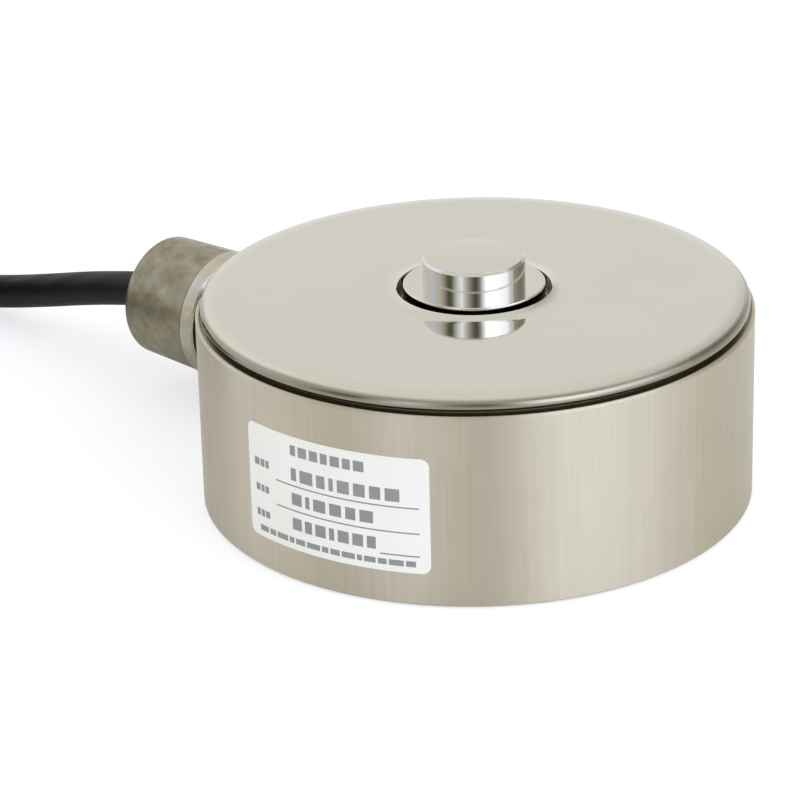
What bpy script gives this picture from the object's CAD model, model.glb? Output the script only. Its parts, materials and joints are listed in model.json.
"""Strain gauge load cell: finishes, signal cable, label print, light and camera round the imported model."""

import json
import logging
import math
from dataclasses import dataclass
from enum import Enum

import bmesh
import bpy
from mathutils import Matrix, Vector


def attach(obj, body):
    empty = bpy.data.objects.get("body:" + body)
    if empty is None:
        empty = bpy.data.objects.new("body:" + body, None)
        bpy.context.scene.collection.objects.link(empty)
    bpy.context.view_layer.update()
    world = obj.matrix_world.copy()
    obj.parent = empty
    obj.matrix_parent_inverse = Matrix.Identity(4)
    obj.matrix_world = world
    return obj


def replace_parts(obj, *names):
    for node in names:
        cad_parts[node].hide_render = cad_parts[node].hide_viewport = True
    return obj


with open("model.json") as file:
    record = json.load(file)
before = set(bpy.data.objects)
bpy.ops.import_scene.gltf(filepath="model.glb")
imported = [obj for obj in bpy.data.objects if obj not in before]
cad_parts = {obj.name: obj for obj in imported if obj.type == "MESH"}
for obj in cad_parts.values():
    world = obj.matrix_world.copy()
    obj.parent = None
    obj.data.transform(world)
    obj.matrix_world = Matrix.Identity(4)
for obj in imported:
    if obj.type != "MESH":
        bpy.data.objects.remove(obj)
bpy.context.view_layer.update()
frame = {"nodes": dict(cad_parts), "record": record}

MM = 0.001
BODY = "root"
WHITE = (1.0, 1.0, 1.0, 1.0)
# How much of a noise's strength each finer octave keeps, and the range that most of its values lie in
OCTAVE_SHARE = 0.55
NOISE_LOW = 0.25
NOISE_HIGH = 0.75
# A Mix node's sockets by number: its two colours and their mixture, its two numbers and theirs
COLOUR_A = 6
COLOUR_B = 7
MIXED_COLOUR = 2
NUMBER_A = 2
NUMBER_B = 3
MIXED_NUMBER = 0

Colour = tuple[float, float, float, float]
Tree = bpy.types.NodeTree
Node = bpy.types.Node
Socket = bpy.types.NodeSocket
Inputs = dict[str | int, object]

log = logging.getLogger("load_cell")


# Nodes and colours


def linear(hex_colour: str) -> Colour:
    """Turns an sRGB hex value into a linear colour.

    Args:
        hex_colour: six digits, such as "CECBBE".

    Returns:
        Red, green, blue and an alpha of 1.
    """
    parts = [int(hex_colour[i : i + 2], 16) / 255 for i in (0, 2, 4)]
    red, green, blue = (c / 12.92 if c <= 0.04045 else ((c + 0.055) / 1.055) ** 2.4 for c in parts)
    return red, green, blue, 1.0


def grey(tone: float) -> Colour:
    """Gives a neutral colour of one linear tone."""
    return tone, tone, tone, 1.0


def bare_tree(owner: bpy.types.Material | bpy.types.World) -> Tree:
    """Gives the emptied node tree of a new material or world.

    Args:
        owner: the material or world.

    Returns:
        Its node tree, with no node in it.
    """
    owner.use_nodes = True
    owner.node_tree.nodes.clear()
    return owner.node_tree


def add_node(tree: Tree, kind: str, inputs: Inputs | None = None, **settings: object) -> Node:
    """Adds a node with its settings and links.

    Args:
        tree: the node tree to add to.
        kind: the node's type without the leading "ShaderNode", such as "TexNoise".
        inputs: values or output sockets, by the name or number of the input they go to.
        settings: attributes of the node, such as operation="ADD".

    Returns:
        The new node.
    """
    node = tree.nodes.new("ShaderNode" + kind)
    for name, value in settings.items():
        setattr(node, name, value)
    for name, value in (inputs or {}).items():
        if isinstance(value, Socket):
            tree.links.new(value, node.inputs[name])
        else:
            node.inputs[name].default_value = value
    return node


def blotches(where: Socket, size: float, detail: float = 3.0) -> Inputs:
    """Works out a noise from a real size.

    Args:
        where: coordinates in millimetres.
        size: about how large a blotch is, in millimetres.
        detail: how many finer octaves lie over it.

    Returns:
        The noise's inputs.
    """
    return {"Vector": where, "Scale": 1 / size, "Detail": detail, "Roughness": OCTAVE_SHARE}


class Axis(Enum):
    """The axis a piece was turned about."""

    X = "X"
    Z = "Z"

    def along(self, this: float, others: float) -> tuple[float, float, float]:
        """Gives a vector with one value for this axis and another for the two others."""
        return (this, others, others) if self is Axis.X else (others, others, this)


# Finishes


@dataclass(frozen=True)
class Finish:
    """A material made by one process, in two tones that change over it. Patterns are in millimetres.

    No finish is named as a slot of the record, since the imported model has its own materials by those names.
    """

    name: str
    colour: str
    second: str
    roughness: float
    metallic: float = 0.0

    def material(self) -> bpy.types.Material:
        """Makes the node material, or finds the one that is made already.

        Returns:
            The material.
        """
        made = bpy.data.materials.get(self.name)
        if made:
            return made
        made = bpy.data.materials.new(self.name)
        tree = bare_tree(made)
        inputs = {"Base Color": linear(self.colour), "Roughness": self.roughness, "Metallic": self.metallic}
        shader = add_node(tree, "BsdfPrincipled", inputs)
        add_node(tree, "OutputMaterial", {"Surface": shader.outputs["BSDF"]})
        self.dress(tree, shader)
        return made

    def dress(self, tree: Tree, shader: Node) -> None:
        """Adds this finish's own pattern to its shader.

        Args:
            tree: the material's node tree.
            shader: its shader.
        """
        raise NotImplementedError

    def place(self, tree: Tree) -> Socket:
        """Gives the place on the cell in millimetres."""
        where = add_node(tree, "TexCoord").outputs["Object"]
        return add_node(tree, "VectorMath", {0: where, "Scale": 1 / MM}, operation="SCALE").outputs["Vector"]

    def patches(self, tree: Tree, noise: Inputs, low: float, high: float) -> Socket:
        """Gives a value that changes in soft patches.

        Args:
            tree: the material's node tree.
            noise: the patches, as blotches() gives them.
            low: the value at one end.
            high: the value at the other end.

        Returns:
            The value.
        """
        factor = add_node(tree, "TexNoise", noise).outputs[0]
        inputs = {"Value": factor, "From Min": NOISE_LOW, "From Max": NOISE_HIGH}
        inputs |= {"To Min": low, "To Max": high}
        return add_node(tree, "MapRange", inputs).outputs["Result"]

    def mix_tones(self, tree: Tree, shader: Node, factor: Socket) -> None:
        """Colours the shader with the two tones.

        Args:
            tree: the material's node tree.
            shader: its shader.
            factor: how much of the second tone shows.
        """
        inputs = {0: factor, COLOUR_A: linear(self.colour), COLOUR_B: linear(self.second)}
        tones = add_node(tree, "Mix", inputs, data_type="RGBA")
        tree.links.new(tones.outputs[MIXED_COLOUR], shader.inputs["Base Color"])

    def vary_gloss(self, tree: Tree, shader: Node, noise: Inputs, change: float) -> None:
        """Lets the roughness rise and fall in soft patches.

        Args:
            tree: the material's node tree.
            shader: its shader.
            noise: the patches, as blotches() gives them.
            change: how far the roughness goes each way.
        """
        gloss = self.patches(tree, noise, self.roughness - change, self.roughness + change)
        tree.links.new(gloss, shader.inputs["Roughness"])

    def raise_grain(self, tree: Tree, shader: Node, noise: Inputs, depth: float) -> None:
        """Raises a grain on the surface.

        Args:
            tree: the material's node tree.
            shader: its shader.
            noise: the grain, as blotches() gives it.
            depth: its depth in millimetres.
        """
        height = add_node(tree, "TexNoise", noise).outputs[0]
        bump = add_node(tree, "Bump", {"Height": height, "Distance": depth * MM, "Strength": 1.0})
        tree.links.new(bump.outputs["Normal"], shader.inputs["Normal"])


@dataclass(frozen=True)
class TurnedSteel(Finish):
    """Stainless steel turned on a lathe and rubbed fine: soft, with highlights drawn out along the axis."""

    metallic: float = 1.0
    axis: Axis = Axis.Z
    # The real turning lines are about 0.1 mm apart, and are drawn coarser so that they show
    pitch: float = 0.35
    depth: float = 0.0008
    # The real rub marks are about 0.1 mm wide, and are drawn coarser so that they show
    streak: float = 0.7
    # How fast lines and marks change the long way, as a share of how fast they change across
    line_share: float = 0.02
    streak_share: float = 0.03
    patch: float = 6.0
    gloss_change: float = 0.03
    anisotropy: float = 0.9
    # A quarter turn draws the highlights out along the axis
    quarter: float = 0.25

    def dress(self, tree: Tree, shader: Node) -> None:
        """Draws turning lines round the axis, rub marks along it, and patches of gloss.

        Args:
            tree: the material's node tree.
            shader: its shader.
        """
        where = self.place(tree)
        across = {"Vector": where, "Scale": self.axis.along(1.0, self.line_share)}
        along = {"Vector": where, "Scale": self.axis.along(self.streak_share, 1.0)}
        lines = add_node(tree, "Mapping", across).outputs["Vector"]
        rubs = add_node(tree, "Mapping", along).outputs["Vector"]
        self.mix_tones(tree, shader, self.patches(tree, blotches(rubs, self.streak, 4.0), 0.0, 1.0))
        self.vary_gloss(tree, shader, blotches(where, self.patch), self.gloss_change)
        tangent = add_node(tree, "Tangent", direction_type="RADIAL", axis=self.axis.value)
        tree.links.new(tangent.outputs["Tangent"], shader.inputs["Tangent"])
        shader.inputs["Anisotropic"].default_value = self.anisotropy
        shader.inputs["Anisotropic Rotation"].default_value = self.quarter
        self.raise_grain(tree, shader, blotches(lines, self.pitch, 2.0), self.depth)


@dataclass(frozen=True)
class PolishedSteel(Finish):
    """Stainless steel polished to a mirror: reflections stay sharp but waver a little.

    The polishing disc doesn't reach the joint and the slot, which stay as turned: darker and duller.
    """

    metallic: float = 1.0
    wave: float = 14.0
    wave_depth: float = 0.004
    # Sizes of the patches of tone and of haze, and how far the haze changes the roughness each way
    cloud: float = 18.0
    haze: float = 7.0
    haze_share: float = 0.3
    dull: str = "938C79"
    dull_roughness: float = 0.2
    # Heights between which the polish ends
    dull_top: float = 30.3
    dull_full: float = 30.05

    def dress(self, tree: Tree, shader: Node) -> None:
        """Adds the polish's faint waves, a haze that changes over the face, and the dull lower parts.

        Args:
            tree: the material's node tree.
            shader: its shader.
        """
        where = self.place(tree)
        height = add_node(tree, "SeparateXYZ", {0: where}).outputs["Z"]
        ends = {"Value": height, "From Min": self.dull_top, "From Max": self.dull_full}
        deep = add_node(tree, "MapRange", ends).outputs["Result"]
        cloud = add_node(tree, "TexNoise", blotches(where, self.cloud, 4.0)).outputs[0]
        tones = {0: cloud, COLOUR_A: linear(self.colour), COLOUR_B: linear(self.second)}
        face = add_node(tree, "Mix", tones, data_type="RGBA").outputs[MIXED_COLOUR]
        both = {0: deep, COLOUR_A: face, COLOUR_B: linear(self.dull)}
        colour = add_node(tree, "Mix", both, data_type="RGBA").outputs[MIXED_COLOUR]
        tree.links.new(colour, shader.inputs["Base Color"])
        low = self.roughness * (1 - self.haze_share)
        high = self.roughness * (1 + self.haze_share)
        haze = self.patches(tree, blotches(where, self.haze), low, high)
        dulled = {0: deep, NUMBER_A: haze, NUMBER_B: self.dull_roughness}
        gloss = add_node(tree, "Mix", dulled).outputs[MIXED_NUMBER]
        tree.links.new(gloss, shader.inputs["Roughness"])
        self.raise_grain(tree, shader, blotches(where, self.wave, 1.0), self.wave_depth)


@dataclass(frozen=True)
class FacedSteel(Finish):
    """Steel plate faced on a lathe: fine rings round the axis."""

    metallic: float = 1.0
    # The real rings are about 0.15 mm apart, and are drawn coarser so that they show
    pitch: float = 0.4
    depth: float = 0.002
    patch: float = 11.0

    def dress(self, tree: Tree, shader: Node) -> None:
        """Draws the facing rings and a faint change of tone.

        Args:
            tree: the material's node tree.
            shader: its shader.
        """
        where = self.place(tree)
        flat = add_node(tree, "VectorMath", {0: where, 1: (1.0, 1.0, 0.0)}, operation="MULTIPLY")
        radius = add_node(tree, "VectorMath", {0: flat.outputs["Vector"]}, operation="LENGTH")
        ring = add_node(tree, "CombineXYZ", {"X": radius.outputs["Value"]}).outputs["Vector"]
        self.mix_tones(tree, shader, add_node(tree, "TexNoise", blotches(where, self.patch)).outputs[0])
        self.raise_grain(tree, shader, blotches(ring, self.pitch, 1.0), self.depth)


@dataclass(frozen=True)
class MottledMetal(Finish):
    """Plated, rolled or drawn metal that handling has dulled unevenly: two tones in blotches, and grain."""

    metallic: float = 1.0
    blotch: float = 2.6
    grain: float = 0.25
    depth: float = 0.004
    gloss_change: float = 0.08

    def dress(self, tree: Tree, shader: Node) -> None:
        """Mixes the two tones, and makes the duller places rougher.

        Args:
            tree: the material's node tree.
            shader: its shader.
        """
        where = self.place(tree)
        dulled = blotches(where, self.blotch, 5.0)
        self.mix_tones(tree, shader, self.patches(tree, dulled, 0.0, 1.0))
        self.vary_gloss(tree, shader, dulled, self.gloss_change)
        self.raise_grain(tree, shader, blotches(where, self.grain), self.depth)


@dataclass(frozen=True)
class MouldedPolymer(Finish):
    """Moulded or extruded plastic or rubber: one colour with a fine grain."""

    # The real grain of such skins is about 0.1 mm, and is drawn coarser so that it shows
    grain: float = 0.3
    depth: float = 0.006
    patch: float = 6.0
    gloss_patch: float = 1.5
    gloss_change: float = 0.05

    def dress(self, tree: Tree, shader: Node) -> None:
        """Adds the grain of the skin, and a slow change of tone.

        Args:
            tree: the material's node tree.
            shader: its shader.
        """
        where = self.place(tree)
        self.mix_tones(tree, shader, self.patches(tree, blotches(where, self.patch), 0.0, 1.0))
        self.vary_gloss(tree, shader, blotches(where, self.gloss_patch), self.gloss_change)
        self.raise_grain(tree, shader, blotches(where, self.grain), self.depth)


@dataclass(frozen=True)
class ExtrudedJacket(Finish):
    """Soft black jacket pulled through a die: fine lines along it, faint swells where the cores twist."""

    cores: int = 4
    # Length in which the cores twist once round
    lay: float = 38.0
    swell: float = 0.035
    # The die's lines, drawn coarser than real ones so that they show: how many go round the jacket,
    # how fast they change along it, and their height as a share of the swell
    lines_round: float = 24.0
    line_share: float = 0.02
    line_height: float = 0.25
    patch: float = 3.0
    # A soft jacket shines less than hard plastic
    shine: float = 0.2

    def dress(self, tree: Tree, shader: Node) -> None:
        """Reads the way along and round the cable, which its mesh carries in millimetres and turns.

        Args:
            tree: the material's node tree.
            shader: its shader.
        """
        way = add_node(tree, "Attribute", attribute_name="way").outputs["Vector"]
        parts = add_node(tree, "SeparateXYZ", {0: way}).outputs
        twists = {0: parts["X"], 1: self.cores / self.lay, 2: 0.0}
        twist = add_node(tree, "Math", twists, operation="MULTIPLY_ADD").outputs[0]
        turns = {0: parts["Y"], 1: float(self.cores), 2: twist}
        turn = add_node(tree, "Math", turns, operation="MULTIPLY_ADD").outputs[0]
        phase = add_node(tree, "Math", {0: turn, 1: 2 * math.pi}, operation="MULTIPLY").outputs[0]
        swell = add_node(tree, "Math", {0: phase}, operation="COSINE").outputs[0]
        scale = (self.line_share, self.lines_round, 1.0)
        lines = add_node(tree, "Mapping", {"Vector": way, "Scale": scale}).outputs["Vector"]
        fine = add_node(tree, "TexNoise", blotches(lines, 1.0, 2.0)).outputs[0]
        heights = {0: fine, 1: self.line_height, 2: swell}
        height = add_node(tree, "Math", heights, operation="MULTIPLY_ADD").outputs[0]
        self.mix_tones(tree, shader, self.patches(tree, blotches(lines, self.patch), 0.0, 1.0))
        shader.inputs["Specular IOR Level"].default_value = self.shine
        bump = add_node(tree, "Bump", {"Height": height, "Distance": self.swell * MM, "Strength": 1.0})
        tree.links.new(bump.outputs["Normal"], shader.inputs["Normal"])


@dataclass(frozen=True)
class LayeredFinish(Finish):
    """A thin piece with metal as its lower layer, such as foil under film or pads under a board."""

    split_z: float = 17.85
    grain: float = 0.2
    depth: float = 0.002

    def dress(self, tree: Tree, shader: Node) -> None:
        """Changes from the upper layer to metal below the split height, with a fine grain over both.

        Args:
            tree: the material's node tree.
            shader: its shader.
        """
        where = self.place(tree)
        height = add_node(tree, "SeparateXYZ", {0: where}).outputs["Z"]
        below = add_node(tree, "Math", {0: height, 1: self.split_z}, operation="LESS_THAN").outputs[0]
        self.mix_tones(tree, shader, below)
        tree.links.new(below, shader.inputs["Metallic"])
        self.raise_grain(tree, shader, blotches(where, self.grain), self.depth)


class Finishes:
    """The finishes of the load cell, by the record's material slots: two tones, roughness and patterns."""

    # Satin grey-beige wall, whose highlights run up and down it because the turning lines run round it
    satin_steel = TurnedSteel("turned_stainless_steel", "D1C8B0", "C9C0A8", 0.48)
    # Nearly white mirror with a warm tint
    polished_steel = PolishedSteel("mirror_polished_stainless_steel", "CFCCBF", "CAC7BA", 0.055)
    # Thin grey sheet at the bottom of the slot
    diaphragm_steel = MottledMetal("rolled_stainless_sheet", "B0AB9D", "A19C8E", 0.34, blotch=4.0)
    # Rings of a facing cut, seen from below
    cover_plate_steel = FacedSteel("faced_stainless_plate", "B5B0A4", "A8A296", 0.32)
    # Fine turned tube, a little darker than the wall
    port_steel = TurnedSteel("turned_stainless_tube", "A8A18F", "9B9481", 0.30, axis=Axis.X)
    # Small grey screws
    screw_steel = MottledMetal("machine_screw_steel", "9D9A92", "86837B", 0.30, blotch=1.2)
    # Pale yellowish plating
    nickel_plated_brass = MottledMetal("nickel_plated_turned_brass", "BDB6A2", "A8A18B", 0.26)
    # Dull olive and brown plating
    tarnished_nut_brass = MottledMetal("tarnished_plated_brass", "9F9A83", "7D7156", 0.36)
    # Matt black
    seal_rubber = MouldedPolymer("nitrile_rubber", "1E1E1D", "2A2A28", 0.62)
    # Black, slightly silky
    cable_jacket = ExtrudedJacket("extruded_black_pvc", "100F0E", "161614", 0.50)
    # Black, tighter and a little glossier than the jacket
    boot_sleeve = MouldedPolymer("heat_shrunk_polyolefin", "161616", "1E1E1E", 0.38)
    # Black and natural nylon
    tie_nylon_black = MouldedPolymer("moulded_black_nylon", "1C1C1F", "26262A", 0.40)
    tie_nylon_natural = MouldedPolymer("moulded_natural_nylon", "E6E3D8", "D9D5C8", 0.42)
    # Thin coloured insulation
    core_red = MouldedPolymer("red_pvc_insulation", "A8322A", "9B2C25", 0.40)
    core_black = MouldedPolymer("black_pvc_insulation", "262626", "2E2E2E", 0.40)
    core_green = MouldedPolymer("green_pvc_insulation", "2F7A3F", "2A6F39", 0.40)
    core_white = MouldedPolymer("white_pvc_insulation", "E8E6DE", "DEDBD1", 0.40)
    # Reddish wire with patches of tin
    screen_copper = MottledMetal("tinned_copper_strands", "C58A4A", "B9B0A0", 0.35, blotch=0.8)
    # Bright tin
    ferrule_tin = MottledMetal("tin_plated_copper", "C9C6BB", "B9B5A8", 0.25, blotch=1.0)
    # White film with a faint grain
    label_film = MouldedPolymer("white_vinyl_film", "F0EEE0", "ECEADB", 0.45, grain=0.5, depth=0.002)
    # Amber film over bright foil
    gauge_film = LayeredFinish("polyimide_film_and_foil", "C8862F", "B9B3A0", 0.35)
    # Green laminate over tinned pads
    terminal_laminate = LayeredFinish(
        "glass_laminate_and_tinned_pads", "2F7D4F", "B9B3A0", 0.45, split_z=17.5
    )
    # Reddish enamel
    enamelled_copper = MottledMetal("enamelled_copper_wire", "A5442C", "8F3A26", 0.30, blotch=1.0)
    # Dark green mask
    board_laminate = MouldedPolymer("green_solder_mask", "2C6B45", "275F3D", 0.35)
    # Black chips
    resistor_ceramic = MouldedPolymer("black_chip_ceramic", "202020", "2A2A2A", 0.40)
    # Grey print
    label_ink = MouldedPolymer("grey_thermal_print", "8A8984", "94938D", 0.60, depth=0.001)


# Meshes


def as_mesh(shape: bmesh.types.BMesh, name: str) -> bpy.types.Mesh:
    """Turns a built shape into a mesh.

    Args:
        shape: the shape, which is used up.
        name: the mesh's name.

    Returns:
        The mesh.
    """
    made = bpy.data.meshes.new(name)
    shape.to_mesh(made)
    shape.free()
    return made


def piece(name: str, mesh: bpy.types.Mesh, finish: Finish) -> bpy.types.Object:
    """Makes an object of a mesh, dresses it and lets it ride on the cell.

    Args:
        name: the piece's name.
        mesh: its mesh, in metres in the row frame.
        finish: its finish.

    Returns:
        The new object.
    """
    made = bpy.data.objects.new(name, mesh)
    bpy.context.scene.collection.objects.link(made)
    mesh.materials.append(finish.material())
    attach(made, BODY)
    log.info("%s: %d faces, %s", name, len(mesh.polygons), finish.name)
    return made


def smooth(points: list[Vector], steps: int) -> list[Vector]:
    """Draws a smooth curve through points.

    Args:
        points: the points the curve passes through.
        steps: how many pieces each stretch is cut into.

    Returns:
        The curve's points, ends included.
    """
    padded = [2 * points[0] - points[1], *points, 2 * points[-1] - points[-2]]
    found = []
    for a, b, c, d in zip(padded, padded[1:], padded[2:], padded[3:]):
        for k in range(steps):
            t = k / steps
            straight = 2 * b + (c - a) * t
            bent = (2 * a - 5 * b + 4 * c - d) * t**2
            turning = (3 * b - a - 3 * c + d) * t**3
            found.append(0.5 * (straight + bent + turning))
    return [*found, points[-1]]


def sweep(name: str, path: list[Vector], radii: list[float], sides: int) -> bpy.types.Mesh:
    """Sweeps a round section along a path, with closed ends.

    Args:
        name: the mesh's name.
        path: points in metres.
        radii: the section's radius at each point, in metres.
        sides: number of sides of the section.

    Returns:
        A mesh that carries "way" on its corners: millimetres along it, and turns round it.
    """
    shape = bmesh.new()
    way = shape.loops.layers.float_vector.new("way")
    angles = [2 * math.pi * k / sides for k in range(sides)]
    normal = Vector((0, 0, 1))
    rings = []
    along = [0.0]
    for i, (at, radius) in enumerate(zip(path, radii)):
        before = path[max(i - 1, 0)]
        after = path[min(i + 1, len(path) - 1)]
        heading = (after - before).normalized()
        normal = (normal - heading * normal.dot(heading)).normalized()
        side = heading.cross(normal)
        spokes = [math.cos(a) * normal + math.sin(a) * side for a in angles]
        rings.append([shape.verts.new(at + radius * spoke) for spoke in spokes])
        along.append(along[-1] + (after - at).length / MM)
    for i, (first, second) in enumerate(zip(rings, rings[1:])):
        for k in range(sides):
            m = (k + 1) % sides
            face = shape.faces.new((first[k], first[m], second[m], second[k]))
            face.smooth = True
            corners = ((along[i], k), (along[i], k + 1), (along[i + 1], k + 1), (along[i + 1], k))
            for loop, (length, turn) in zip(face.loops, corners):
                loop[way] = (length, turn / sides, 0.0)
    shape.faces.new(rings[0][::-1])
    shape.faces.new(rings[-1])
    bmesh.ops.recalc_face_normals(shape, faces=shape.faces)
    return as_mesh(shape, name)


# The cable


@dataclass(frozen=True)
class BareCore:
    """One stripped core or the screen wire. Millimetres.

    Attributes:
        slot: its material slot.
        thick: its diameter.
        side: where it lies across the bundle, in cores from the middle.
        longer: how far it is cut longer than the strip length.
        leaves: how far above the boot's middle it comes out.
        rests: how far above the jacket below it comes to rest.
    """

    slot: str
    thick: float
    side: float
    longer: float
    leaves: float
    rests: float = 0.0


@dataclass
class SignalCable:
    """The shielded cable: out of the gland, down to the floor, into a tied coil, and its bare end.

    Millimetres, and degrees for angles round the coil.
    """

    diameter: float = 5.4
    length: float = 2985.0
    sides: int = 20
    # The gland's mouth
    nut_end: float = 64.0
    axis_z: float = 13.75
    # The route from the gland to the floor, as distances along X and heights
    route: tuple[tuple[float, float], ...] = (
        (-64, 13.75), (-68, 13.4), (-72, 12.65), (-76, 11.7), (-80.5, 10.55), (-85, 9.3), (-90, 7.85),
        (-95, 6.45), (-100, 5.1), (-105, 3.9), (-110, 3.05), (-115, 2.75), (-120, 3.1), (-124, 3.35),
    )
    route_steps: int = 3
    # The straight stretch on the floor before the coil
    stub: float = 18.0
    stub_steps: int = 6
    # The coil, wound in lanes side by side and in layers. The last degrees of each turn lead over to the
    # next lane.
    inner_r: float = 22.6
    pitch: float = 5.5
    lanes: int = 4
    layers: int = 4
    rest_z: float = 3.35
    change: float = 120.0
    turn_points: int = 36
    start_angle: float = 90.0
    # The jacket's end, which lifts a little into its boot
    tail_end: float = 150.0
    tail_steps: int = 8
    lift: float = 0.35
    lift_power: int = 6
    inside: float = 2.0
    # The boot, drawn in over the first and last part of its length
    boot_end: float = 160.0
    boot_r: float = 3.0
    boot_sides: int = 24
    boot_steps: int = 12
    drawn_part: float = 1 / 6
    drawn_front: float = 0.25
    drawn_back: float = 0.5
    # The bare end
    core_d: float = 1.2
    core_gap: float = 0.08
    boot_spacing: float = 1.05
    core_sides: int = 12
    strip: float = 38.0
    cores: tuple[BareCore, ...] = (
        BareCore("core_red", 1.2, -1.5, 0.0, 0.0),
        BareCore("core_black", 1.2, -0.5, 0.6, -0.72),
        BareCore("core_green", 1.2, 0.5, 1.2, -0.72),
        BareCore("core_white", 1.2, 1.5, 1.8, 0.0),
        BareCore("screen_copper", 1.0, 0.0, -2.0, 1.2, rests=1.2),
    )
    # How far a core has come from the boot to where it rests, at even steps along it
    stages: tuple[float, ...] = (0, 0.04, 0.3, 0.7, 0.95, 1, 1, 1, 1)
    stage_steps: int = 4
    # The ferrules, with their crimped waists and rounded tips
    ferrule: float = 7.0
    ferrule_steps: int = 28
    crimps: int = 4
    crimp_depth: float = 0.07
    tip_depth: float = 0.12

    @property
    def outer_r(self) -> float:
        """Radius of the outermost lane's centre line."""
        return self.inner_r + (self.lanes - 1) * self.pitch

    @property
    def top_z(self) -> float:
        """Height of the top layer's centre lines."""
        return self.layer_z(self.layers - 1)

    @property
    def centre(self) -> tuple[float, float]:
        """Centre of the coil on the floor."""
        return self.route[-1][0] - self.stub, -self.outer_r

    def layer_z(self, layer: int) -> float:
        """Height of a layer's centre lines."""
        return self.rest_z + layer * self.diameter

    def on_coil(self, radius: float, angle: float, height: float) -> Vector:
        """Gives a point of the coil.

        Args:
            radius: distance from the coil's middle.
            angle: angle round it in degrees.
            height: height above the floor.

        Returns:
            The point in metres.
        """
        x, y = self.centre
        a = math.radians(angle)
        return Vector((x + radius * math.cos(a), y + radius * math.sin(a), height)) * MM

    def winding_order(self) -> list[tuple[int, int]]:
        """Gives the lane and layer of each turn, wound inwards and outwards by turns.

        Returns:
            Lane and layer of each turn, from the first on the floor to the last on top.
        """
        outwards = list(range(self.lanes))
        order = []
        for layer in range(self.layers):
            lanes = outwards if layer % 2 else outwards[::-1]
            order.extend((lane, layer) for lane in lanes)
        return order

    def turns(self) -> list[Vector]:
        """Winds the coil's turns, each held in its lane and led over to the next one at its end.

        Returns:
            The points of all turns.
        """
        order = self.winding_order()
        found = []
        for (lane, layer), (next_lane, next_layer) in zip(order, order[1:]):
            for k in range(self.turn_points):
                turned = 360 * k / self.turn_points
                part = max(0.0, (turned - (360 - self.change)) / self.change)
                ease = part * part * (3 - 2 * part)
                radius = self.inner_r + (lane + (next_lane - lane) * ease) * self.pitch
                height = self.layer_z(layer) + (next_layer - layer) * ease * self.diameter
                found.append(self.on_coil(radius, self.start_angle + turned, height))
        return found

    def tail(self) -> list[Vector]:
        """Draws the last stretch, in the outer lane of the top layer and up into the boot.

        Returns:
            Its points.
        """
        found = []
        for k in range(self.tail_steps + 1):
            part = k / self.tail_steps
            rise = self.lift * part**self.lift_power
            angle = self.start_angle + (self.tail_end - self.start_angle) * part
            found.append(self.on_coil(self.outer_r + rise, angle, self.top_z + rise))
        end = self.on_coil(self.outer_r + self.lift, self.boot_end - self.inside, self.top_z + self.lift)
        return [*found, end]

    def path(self) -> list[Vector]:
        """Draws the whole centre line, from the gland's mouth to the end inside the boot.

        Returns:
            Its points.
        """
        leaving = smooth([Vector((x, 0, z)) * MM for x, z in self.route], self.route_steps)
        start = self.route[-1][0]
        gone = [self.stub * k / self.stub_steps for k in range(1, self.stub_steps)]
        straight = [Vector((start - distance, 0, self.rest_z)) * MM for distance in gone]
        return leaving + straight + self.turns() + self.tail()

    def build(self) -> None:
        """Makes the cable and what is on it, and says that it is a cord."""
        path = self.path()
        mesh = sweep("signal_cable", path, [self.diameter / 2 * MM] * len(path), self.sides)
        cable = piece("signal_cable", mesh, Finishes.cable_jacket)
        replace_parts(cable, "cable_run", "cable_coil", "cable_tail")
        on_it = [self.boot(), *self.ties(), *self.bare_end()]
        measured = sum((b - a).length for a, b in zip(path, path[1:])) / MM
        log.info("cable: %.0f mm along its centre line", measured)

    def boot(self) -> bpy.types.Object:
        """Makes the shrunk sleeve over the jacket's end, drawn in at both ends.

        Returns:
            The sleeve.
        """
        path = []
        radii = []
        for k in range(self.boot_steps + 1):
            part = k / self.boot_steps
            angle = self.tail_end + (self.boot_end - self.tail_end) * part
            path.append(self.on_coil(self.outer_r + self.lift, angle, self.top_z + self.lift))
            front = self.drawn_front * max(0.0, 1 - part / self.drawn_part)
            back = self.drawn_back * max(0.0, 1 - (1 - part) / self.drawn_part)
            radii.append((self.boot_r - front - back) * MM)
        mesh = sweep("boot_sleeve", path, radii, self.boot_sides)
        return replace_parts(piece("boot_sleeve", mesh, Finishes.boot_sleeve), "tail_boot")

    def bare_end(self) -> list[bpy.types.Object]:
        """Makes the stripped cores, the screen wire and their ferrules.

        Returns:
            All of them.
        """
        made = []
        for number, core in enumerate(self.cores, start=1):
            made.extend(self.core_and_ferrule(number, core))
        return made

    def core_and_ferrule(self, number: int, core: BareCore) -> list[bpy.types.Object]:
        """Leads one core from the boot down onto the jacket below, and crimps its ferrule.

        Args:
            number: its number, counted from 1.
            core: its sizes.

        Returns:
            The core and the ferrule.
        """
        first_r = self.outer_r + self.lift + core.side * self.core_d * self.boot_spacing
        first_z = self.top_z + self.lift + core.leaves
        last_r = self.outer_r + core.side * (self.core_d + self.core_gap)
        last_z = self.layer_z(self.layers - 2) + self.diameter / 2 + core.rests + core.thick / 2
        turned = math.degrees((self.strip - self.ferrule + core.longer) / last_r)
        steps = len(self.stages) - 1
        points = []
        for k, part in enumerate(self.stages):
            radius = first_r + (last_r - first_r) * part
            height = first_z + (last_z - first_z) * part
            points.append(self.on_coil(radius, self.boot_end + turned * k / steps, height))
        path = smooth(points, self.stage_steps)
        name = f"core_{number}"
        mesh = sweep(name, path, [core.thick / 2 * MM] * len(path), self.core_sides)
        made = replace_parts(piece(name, mesh, getattr(Finishes, core.slot)), f"lead_core_{number}")
        return [made, self.crimp(number, core.thick, last_r, self.boot_end + turned, last_z)]

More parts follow.
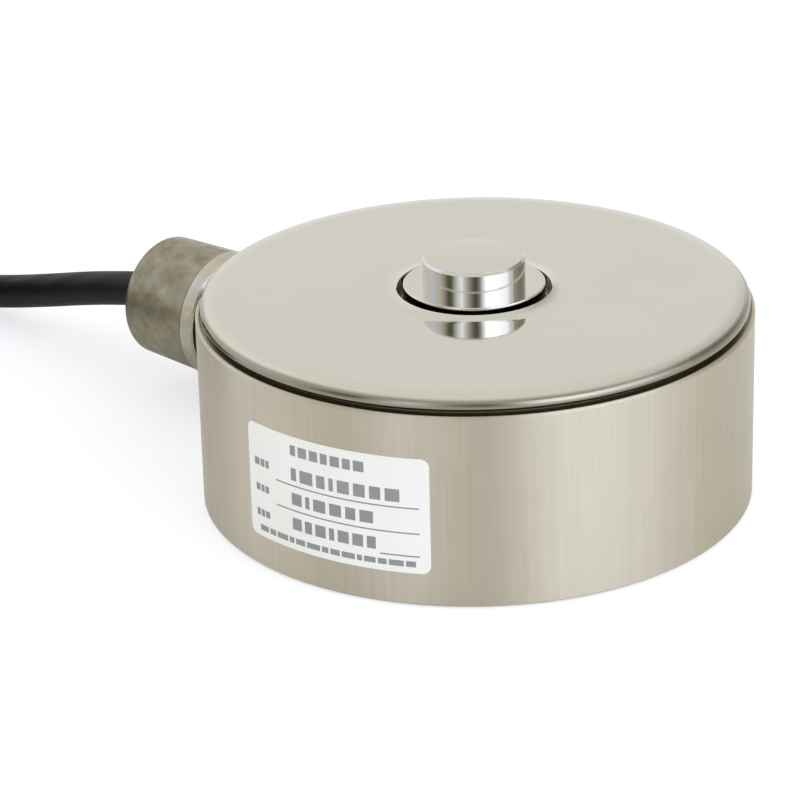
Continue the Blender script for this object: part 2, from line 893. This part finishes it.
    def crimp(
        self, number: int, thick: float, radius: float, angle: float, height: float
    ) -> bpy.types.Object:
        """Makes one ferrule with its crimped waists.

        Args:
            number: number of the core it is on.
            thick: its diameter.
            radius: distance of its start from the coil's middle.
            angle: angle of its start, in degrees.
            height: height of its axis.

        Returns:
            The ferrule.
        """
        start = self.on_coil(radius, angle, height)
        a = math.radians(angle)
        heading = Vector((-math.sin(a), math.cos(a), 0))
        steps = self.ferrule_steps
        path = [start + heading * (self.ferrule * MM * k / steps) for k in range(steps + 1)]
        radii = []
        for k in range(steps + 1):
            waist = self.crimp_depth * max(0.0, math.sin(2 * math.pi * self.crimps * k / steps))
            tip = self.tip_depth if k == steps else 0.0
            radii.append((thick / 2 - waist - tip) * MM)
        name = f"crimped_ferrule_{number}"
        mesh = sweep(name, path, radii, self.core_sides)
        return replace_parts(piece(name, mesh, Finishes.ferrule_tin), f"ferrule_{number}")

    def ties(self) -> list[bpy.types.Object]:
        """Gives the two bands round the coil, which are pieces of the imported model."""
        return [frame["nodes"]["coil_tie_1"], frame["nodes"]["coil_tie_2"]]


# The label


@dataclass(frozen=True)
class PrintRow:
    """A run of small bars across the label, as shares of its width and height from its top left corner."""

    left: float
    right: float
    top: float
    bottom: float
    widths: tuple[float, ...]
    gap: float = 0.3


@dataclass
class RatingLabel:
    """The white sticker on the wall, with generic bars and rules in the place of its print. Millimetres."""

    wall_r: float = 40.0
    thickness: float = 0.12
    # How far the print stands out of the film and reaches into it
    ink: float = 0.015
    width: float = 29.6
    height: float = 17.1
    low_z: float = 4.9
    # Where its middle faces, in degrees round the cell
    facing: float = -79.2
    # Longest flat stretch of a bar that follows the wall
    flat: float = 1.2
    rows: tuple[PrintRow, ...] = (
        PrintRow(0.29, 0.69, 0.075, 0.165, (1.0, 1.6, 1.5, 1.2, 1.6, 1.3, 1.7), 0.5),
        PrintRow(0.29, 0.86, 0.275, 0.385, (0.8, 1.9, 1.2, 0.6, 1.6, 1.5, 1.4, 1.8), 0.55),
        PrintRow(0.29, 0.73, 0.495, 0.60, (1.5, 0.6, 1.7, 1.6, 1.3, 1.7), 0.55),
        PrintRow(0.29, 0.74, 0.715, 0.82, (1.6, 1.2, 1.7, 0.8, 1.7, 1.6, 1.3), 0.55),
        PrintRow(0.045, 0.145, 0.30, 0.365, (1.3, 1.0, 0.8)),
        PrintRow(0.05, 0.14, 0.53, 0.59, (1.2, 0.9, 1.0)),
        PrintRow(0.05, 0.14, 0.755, 0.815, (0.9, 0.9, 1.1)),
        PrintRow(
            0.07, 0.93, 0.895, 0.945, (1.6, 1.1, 1.9, 0.8, 1.5, 2.1, 1.0, 1.4, 1.9, 0.7, 1.6, 1.2, 2.0, 1.3)
        ),
    )
    # Rules under the rows: left, right and height as shares
    rules: tuple[tuple[float, float, float], ...] = (
        (0.19, 0.95, 0.425), (0.19, 0.95, 0.645), (0.76, 0.95, 0.845),
    )
    rule_share: float = 0.012

    def bar(self, shape: bmesh.types.BMesh, left: float, right: float, top: float, bottom: float) -> None:
        """Adds one bar of ink, which follows the wall.

        Args:
            shape: the shape it goes into.
            left: its left side as a share of the label's width.
            right: its right side.
            top: its upper side as a share of the label's height, counted down.
            bottom: its lower side.
        """
        steps = max(1, round((right - left) * self.width / self.flat))
        inner = self.wall_r + self.thickness - self.ink
        outer = self.wall_r + self.thickness + self.ink
        high = self.low_z + self.height * (1 - top)
        low = self.low_z + self.height * (1 - bottom)
        corners = ((inner, low), (outer, low), (outer, high), (inner, high))
        columns = []
        for k in range(steps + 1):
            along = (left + (right - left) * k / steps - 0.5) * self.width
            a = math.radians(self.facing) + along / self.wall_r
            out = Vector((math.cos(a), math.sin(a), 0))
            columns.append([shape.verts.new((out * r + Vector((0, 0, z))) * MM) for r, z in corners])
        for first, second in zip(columns, columns[1:]):
            for k in range(len(corners)):
                m = (k + 1) % len(corners)
                shape.faces.new((first[k], first[m], second[m], second[k]))
        shape.faces.new(columns[0][::-1])
        shape.faces.new(columns[-1])

    def build(self) -> None:
        """Makes all print as one piece on the label."""
        shape = bmesh.new()
        for row in self.rows:
            total = sum(row.widths) + row.gap * (len(row.widths) - 1)
            unit = (row.right - row.left) / total
            at = row.left
            for width in row.widths:
                self.bar(shape, at, at + width * unit, row.top, row.bottom)
                at += (width + row.gap) * unit
        for left, right, height in self.rules:
            self.bar(shape, left, right, height, height + self.rule_share)
        bmesh.ops.recalc_face_normals(shape, faces=shape.faces)
        piece("label_print", as_mesh(shape, "label_print"), Finishes.label_ink)


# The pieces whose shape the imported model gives


class PackedPieces:
    """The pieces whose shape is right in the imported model, and which only take their finish."""

    def dress(self) -> None:
        """Gives each node the finish of its material slot."""
        for row in frame["record"]["subparts"]:
            finish = getattr(Finishes, row["material_slot"])
            for slot in frame["nodes"][row["node"]].material_slots:
                slot.material = finish.material()
            log.info("%s: %s", row["node"], finish.name)


# Light and camera


@dataclass
class PhotoCamera:
    """The camera at the photograph's place. Millimetres, and degrees for the roll."""

    place: tuple[float, float, float] = (305.49, -347.74, 216.62)
    aim: tuple[float, float, float] = (-5.45, -10.36, 15.3)
    roll: float = -1.527
    lens: float = 157.0
    sensor: float = 36.0
    near: float = 10.0

    def build(self) -> None:
        """Makes the camera and lets the scene look through it."""
        data = bpy.data.cameras.new("photo_camera")
        data.lens = self.lens
        data.sensor_width = self.sensor
        data.clip_start = self.near * MM
        camera = bpy.data.objects.new("photo_camera", data)
        bpy.context.scene.collection.objects.link(camera)
        place = Vector(self.place) * MM
        heading = (Vector(self.aim) * MM - place).normalized()
        level = heading.cross(Vector((0, 0, 1))).normalized()
        upright = level.cross(heading)
        turn = math.radians(self.roll)
        right = level * math.cos(turn) + upright * math.sin(turn)
        up = upright * math.cos(turn) - level * math.sin(turn)
        matrix = camera.matrix_world
        for column, axis in enumerate((right, up, -heading, place)):
            for row in range(3):
                matrix[row][column] = axis[row]
        camera.matrix_world = matrix
        bpy.context.scene.camera = camera
        log.info("camera: %.0f mm lens", self.lens)


@dataclass(frozen=True)
class HeightChange:
    """A soft change of the room between two heights in degrees, and how much of it shows already below."""

    low: float
    high: float
    below: float = 0.0


@dataclass
class Studio:
    """A pale floor in a room of white walls, soft lights and dark gaps between them. Metres and degrees."""

    # Where the camera stands, round the cell from the X axis
    camera_side: float = -48.7
    floor_size: float = 6.0
    floor_drop: float = 0.0002
    floor_tone: float = 0.93
    # What the camera sees of the floor: a glow of its own, which leaves the shadow on it faint
    seen_tone: float = 0.42
    seen_glow: float = 0.64
    # Brightness of the room round the cell, by the angle from the camera's side to the right
    around: tuple[tuple[float, float], ...] = (
        (-180, 0.97), (-170, 0.97), (-150, 1.2), (-105, 1.25), (-82, 1.0), (-68, 0.5), (-61, 0.2), (-52, 0.2),
        (-45, 0.8), (-36, 1.5), (-28, 2.0), (-22, 1.3), (-15, 0.84), (-8, 0.48), (-2, 0.23), (5, 0.15),
        (12, 0.5), (19, 1.6), (26, 2.8), (31, 3.2), (48, 3.2), (58, 2.7), (78, 2.4), (87, 1.5),
        (95, 1.15), (105, 0.6), (122, 0.4), (138, 0.4), (158, 0.6), (170, 0.97), (180, 0.97),
    )
    brightest: float = 3.2
    # The lights are a little cooler than the walls between them
    cool: tuple[float, float, float] = (0.91, 1.0, 1.31)
    cool_from: float = 1.2
    # The lights and gaps come out of a plainer wall, and give way to a plain ceiling
    wall_tone: float = 1.0
    lights_start: HeightChange = HeightChange(12.0, 19.0, below=0.35)
    ceiling_tone: float = 0.97
    ceiling_start: HeightChange = HeightChange(38.0, 54.0)

    def build(self) -> None:
        """Makes the floor and the room."""
        bpy.context.scene.view_settings.view_transform = "Standard"
        self.floor()
        self.room()
        log.info("studio: %d stops of light round the cell", len(self.around))

    def floor(self) -> None:
        """Makes the floor, which looks white to the camera but keeps its shadow."""
        shape = bmesh.new()
        bmesh.ops.create_grid(shape, x_segments=2, y_segments=2, size=self.floor_size / 2)
        mesh = as_mesh(shape, "studio_floor")
        floor = bpy.data.objects.new("studio_floor", mesh)
        floor.location.z = -self.floor_drop
        bpy.context.scene.collection.objects.link(floor)
        material = bpy.data.materials.new("pale_studio_paper")
        tree = bare_tree(material)
        paper = add_node(tree, "BsdfDiffuse", {"Color": grey(self.floor_tone)})
        faint = add_node(tree, "BsdfDiffuse", {"Color": grey(self.seen_tone)})
        glow = add_node(tree, "Emission", {"Strength": self.seen_glow})
        seen = add_node(tree, "AddShader", {0: faint.outputs[0], 1: glow.outputs[0]})
        camera_ray = add_node(tree, "LightPath").outputs["Is Camera Ray"]
        mixed = add_node(tree, "MixShader", {0: camera_ray, 1: paper.outputs[0], 2: seen.outputs[0]})
        add_node(tree, "OutputMaterial", {"Surface": mixed.outputs[0]})
        mesh.materials.append(material)

    def lights_round(self, tree: Tree, azimuth: Socket) -> Socket:
        """Gives the room's colour for an angle from the camera's side.

        Args:
            tree: the world's node tree.
            azimuth: the angle in degrees.

        Returns:
            The colour, as a share of the brightest.
        """
        share = add_node(tree, "MapRange", {"Value": azimuth, "From Min": -180.0, "From Max": 180.0})
        ramp = add_node(tree, "ValToRGB", {0: share.outputs["Result"]})
        stops = ramp.color_ramp.elements
        while len(stops) < len(self.around):
            stops.new(0.5)
        for stop, (angle, brightness) in zip(stops, self.around):
            stop.position = (angle + 180) / 360
            tint = self.cool if brightness > self.cool_from else WHITE[:3]
            stop.color = (*(brightness / self.brightest * part for part in tint), 1.0)
        return ramp.outputs["Color"]

    def lead_over(
        self, tree: Tree, height: Socket, change: HeightChange, lower: Colour | Socket, upper: Colour | Socket
    ) -> Socket:
        """Leads softly from one colour to another with height.

        Args:
            tree: the world's node tree.
            height: height of the direction in degrees.
            change: the heights it changes between.
            lower: the lower colour.
            upper: the upper colour.

        Returns:
            The mixed colour.
        """
        inputs = {"Value": height, "From Min": change.low, "From Max": change.high, "To Min": change.below}
        risen = add_node(tree, "MapRange", inputs, interpolation_type="SMOOTHSTEP").outputs["Result"]
        both = {0: risen, COLOUR_A: lower, COLOUR_B: upper}
        return add_node(tree, "Mix", both, data_type="RGBA").outputs[MIXED_COLOUR]

    def room(self) -> None:
        """Makes the room's light, where the camera itself sees plain white."""
        world = bpy.data.worlds.new("studio_room")
        bpy.context.scene.world = world
        tree = bare_tree(world)
        way = add_node(tree, "TexCoord").outputs["Generated"]
        turn = {"Vector": way, "Axis": (0.0, 0.0, 1.0), "Angle": -math.radians(self.camera_side)}
        turned = add_node(tree, "VectorRotate", turn, rotation_type="AXIS_ANGLE").outputs["Vector"]
        parts = add_node(tree, "SeparateXYZ", {0: turned}).outputs
        azimuth = add_node(tree, "Math", {0: parts["Y"], 1: parts["X"]}, operation="ARCTAN2").outputs[0]
        azimuth = add_node(tree, "Math", {0: azimuth}, operation="DEGREES").outputs[0]
        height = add_node(tree, "Math", {0: parts["Z"]}, operation="ARCSINE").outputs[0]
        height = add_node(tree, "Math", {0: height}, operation="DEGREES").outputs[0]
        wall = grey(self.wall_tone / self.brightest)
        sides = self.lead_over(tree, height, self.lights_start, wall, self.lights_round(tree, azimuth))
        ceiling = grey(self.ceiling_tone / self.brightest)
        colour = self.lead_over(tree, height, self.ceiling_start, sides, ceiling)
        lit = add_node(tree, "Background", {"Color": colour, "Strength": self.brightest})
        white = add_node(tree, "Background", {"Color": WHITE, "Strength": 1.0})
        camera_ray = add_node(tree, "LightPath").outputs["Is Camera Ray"]
        mixed = add_node(tree, "MixShader", {0: camera_ray, 1: lit.outputs[0], 2: white.outputs[0]})
        add_node(tree, "OutputWorld", {"Surface": mixed.outputs[0]})


def main() -> None:
    """Builds the scene in order: camera, cable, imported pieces, label, and light."""
    logging.basicConfig(level=logging.INFO, format="%(name)s: %(message)s")
    PhotoCamera().build()
    SignalCable().build()
    PackedPieces().dress()
    RatingLabel().build()
    Studio().build()


if __name__ == "__main__":
    main()
